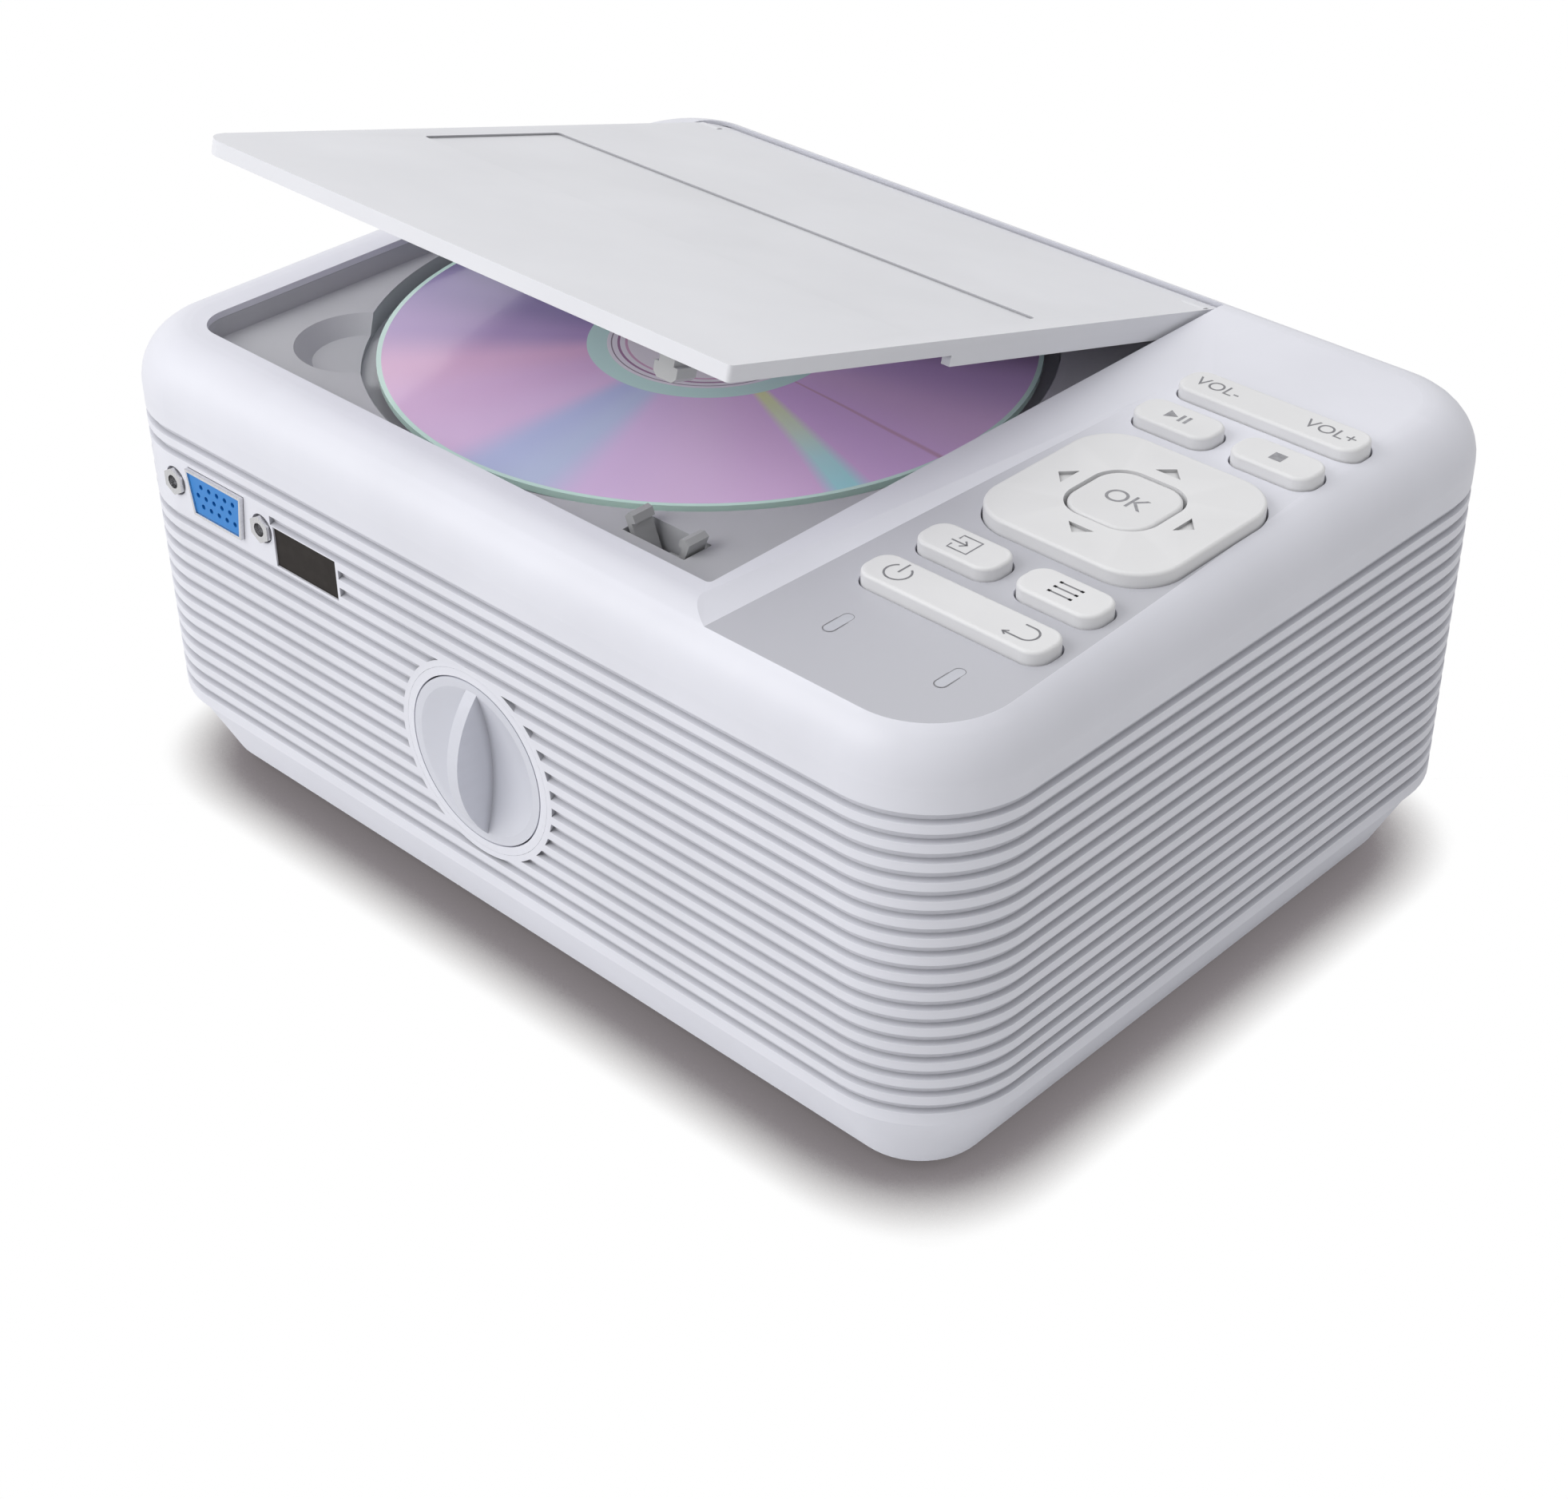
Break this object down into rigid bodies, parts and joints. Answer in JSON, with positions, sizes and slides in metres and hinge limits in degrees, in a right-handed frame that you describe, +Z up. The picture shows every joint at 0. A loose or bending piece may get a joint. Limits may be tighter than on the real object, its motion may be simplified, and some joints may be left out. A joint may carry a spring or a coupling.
{
  "type": "projector with disc player",
  "caption": "Portable projector with a ribbed case, a hinged lid over a disc drive, a button panel, a capped front lens and a video socket.",
  "frame": {"origin": "on the table, under the middle of the whole object", "axes": "+Z up, -Y towards the front with the lens, +X towards the side with the button panel"},
  "size_m": [0.202, 0.1564, 0.1259],
  "materials": {
    "body_white": "satin",
    "deck_grey": "satin",
    "mechanism_grey": "matte",
    "key_white": "satin",
    "black_plastic": "matte",
    "steel": "brushed",
    "aluminium": "satin",
    "rubber": "matte",
    "disc_clear": "mirror-like data side",
    "lens_glass": "clear",
    "port_blue": "satin",
    "infrared_dark": "polished",
    "board_green": "satin",
    "light_clear": "frosted"
  },
  "bodies": {
    "case": {"base_cover": "body_white", "board_parts": "black_plastic", "case_screws": "steel", "disc_deck": "deck_grey", "drive_chassis": "steel", "drive_dampers": "rubber", "engine_housing": "mechanism_grey", "fan_frame": "black_plastic", "field_lenses": "lens_glass", "guide_rods": "steel", "heat_sink": "aluminium", "hinge_pins": "steel", "infrared_window": "infrared_dark", "key_board": "board_green", "key_frame": "mechanism_grey", "key_switches": "black_plastic", "lamp_board": "board_green", "latch_spring": "steel", "lcd_panel": "lens_glass", "lens_bezel": "body_white", "light_pipes": "light_clear", "main_board": "board_green", "port_board": "board_green", "power_board": "board_green", "power_inlet": "black_plastic", "rear_ports": "black_plastic", "rubber_feet": "rubber", "sled_motor": "steel", "small_screws": "steel", "speakers": "black_plastic", "spindle_motor": "steel", "top_cover": "body_white", "vga_insert": "port_blue", "vga_jack_screws": "steel", "vga_shell": "steel"},
    "lid": {"disc_lid": "body_white", "lid_striker": "deck_grey"},
    "latch_plunger": {"latch_plunger": "deck_grey"},
    "latch_jaw_left": {"latch_jaw_left": "deck_grey"},
    "latch_jaw_right": {"latch_jaw_right": "deck_grey"},
    "spindle": {"spindle_hub": "black_plastic", "disc": "disc_clear"},
    "sled": {"pickup_sled": "mechanism_grey", "pickup_lens": "lens_glass"},
    "sled_screw": {"sled_screw": "steel"},
    "cap_ring": {"cap_seal_ring": "rubber"},
    "lens_cap": {"lens_cap": "body_white"},
    "focus_ring": {"focus_ring": "black_plastic"},
    "lens_barrel": {"lens_barrel": "black_plastic", "lens_elements": "lens_glass"},
    "fan_rotor": {"fan_rotor": "black_plastic"},
    "volume_rocker": {"volume_rocker": "key_white"},
    "play_button": {"play_button": "key_white"},
    "stop_button": {"stop_button": "key_white"},
    "pad_pivot": {"pad_pivot": "mechanism_grey"},
    "direction_pad": {"direction_pad": "key_white"},
    "ok_button": {"ok_button": "key_white"},
    "source_button": {"source_button": "key_white"},
    "menu_button": {"menu_button": "key_white"},
    "power_rocker": {"power_rocker": "key_white"}
  },
  "joints": [
    {"name": "lid_hinge", "type": "hinge", "parent": "case", "child": "lid", "pos_m": [-0.022, 0.06615, 0.089], "axis": [-1, 0, 0], "range_deg": [-15.7, 45]},
    {"name": "latch_push", "type": "slide", "parent": "case", "child": "latch_plunger", "axis": [0, 0, -1], "range_m": [0, 0.003], "stiffness_N_per_m": 250, "deforming": ["latch_spring"]},
    {"name": "jaw_left_swing", "type": "hinge", "parent": "latch_plunger", "child": "latch_jaw_left", "pos_m": [0.0191, -0.04955, 0.08095], "axis": [0, 1, 0], "range_deg": [0, 22]},
    {"name": "jaw_right_swing", "type": "hinge", "parent": "latch_plunger", "child": "latch_jaw_right", "pos_m": [0.0259, -0.04955, 0.08095], "axis": [0, -1, 0], "range_deg": [0, 22]},
    {"name": "disc_spin", "type": "hinge", "parent": "case", "child": "spindle", "pos_m": [-0.0225, 0.00565, 0.085], "axis": [0, 0, 1], "continuous": true},
    {"name": "sled_travel", "type": "slide", "parent": "case", "child": "sled", "axis": [1, 0, 0], "range_m": [0, 0.034]},
    {"name": "sled_screw_turn", "type": "hinge", "parent": "case", "child": "sled_screw", "pos_m": [0, -0.01635, 0.0786], "axis": [1, 0, 0], "continuous": true},
    {"name": "cap_pull", "type": "slide", "parent": "case", "child": "cap_ring", "axis": [0, -1, 0], "range_m": [0, 0.02]},
    {"name": "cap_turn", "type": "hinge", "parent": "cap_ring", "child": "lens_cap", "pos_m": [-0.0015, -0.06925, 0.0437], "axis": [0, 1, 0], "range_deg": [-90, 90]},
    {"name": "focus_turn", "type": "hinge", "parent": "case", "child": "focus_ring", "pos_m": [-0.0015, -0.05725, 0.0437], "axis": [0, 1, 0], "range_deg": [-60, 60]},
    {"name": "barrel_slide", "type": "slide", "parent": "case", "child": "lens_barrel", "axis": [0, -1, 0], "range_m": [-0.0025, 0.0025]},
    {"name": "fan_spin", "type": "hinge", "parent": "case", "child": "fan_rotor", "pos_m": [-0.0015, 0.06875, 0.0437], "axis": [0, 1, 0], "continuous": true},
    {"name": "volume_rocker_tilt", "type": "hinge", "parent": "case", "child": "volume_rocker", "pos_m": [0.0753, 0.04005, 0.08595], "axis": [0, 1, 0], "range_deg": [-1.6, 1.6], "stiffness_Nm_per_rad": 0.6},
    {"name": "power_rocker_tilt", "type": "hinge", "parent": "case", "child": "power_rocker", "pos_m": [0.0753, -0.03995, 0.08595], "axis": [0, 1, 0], "range_deg": [-1.6, 1.6], "stiffness_Nm_per_rad": 0.6},
    {"name": "play_press", "type": "slide", "parent": "case", "child": "play_button", "axis": [0, 0, -1], "range_m": [0, 0.0006], "stiffness_N_per_m": 900},
    {"name": "stop_press", "type": "slide", "parent": "case", "child": "stop_button", "axis": [0, 0, -1], "range_m": [0, 0.0006], "stiffness_N_per_m": 900},
    {"name": "source_press", "type": "slide", "parent": "case", "child": "source_button", "axis": [0, 0, -1], "range_m": [0, 0.0006], "stiffness_N_per_m": 900},
    {"name": "menu_press", "type": "slide", "parent": "case", "child": "menu_button", "axis": [0, 0, -1], "range_m": [0, 0.0006], "stiffness_N_per_m": 900},
    {"name": "ok_press", "type": "slide", "parent": "case", "child": "ok_button", "axis": [0, 0, -1], "range_m": [0, 0.0006], "stiffness_N_per_m": 900},
    {"name": "pad_tilt_x", "type": "hinge", "parent": "case", "child": "pad_pivot", "pos_m": [0.0753, 0.00005, 0.0843], "axis": [1, 0, 0], "range_deg": [-1.5, 1.5], "stiffness_Nm_per_rad": 1.2},
    {"name": "pad_tilt_y", "type": "hinge", "parent": "pad_pivot", "child": "direction_pad", "pos_m": [0.0753, 0.00005, 0.0843], "axis": [0, 1, 0], "range_deg": [-1.5, 1.5], "stiffness_Nm_per_rad": 1.2}
  ],
  "couplings": [
    {"joint": "jaw_left_swing", "follows": "latch_push", "rad_per_m": 127.98},
    {"joint": "jaw_right_swing", "follows": "latch_push", "rad_per_m": 127.98},
    {"joint": "sled_screw_turn", "follows": "sled_travel", "rad_per_m": 2094.4},
    {"joint": "barrel_slide", "follows": "focus_turn", "m_per_rad": 0.002387}
  ]
}
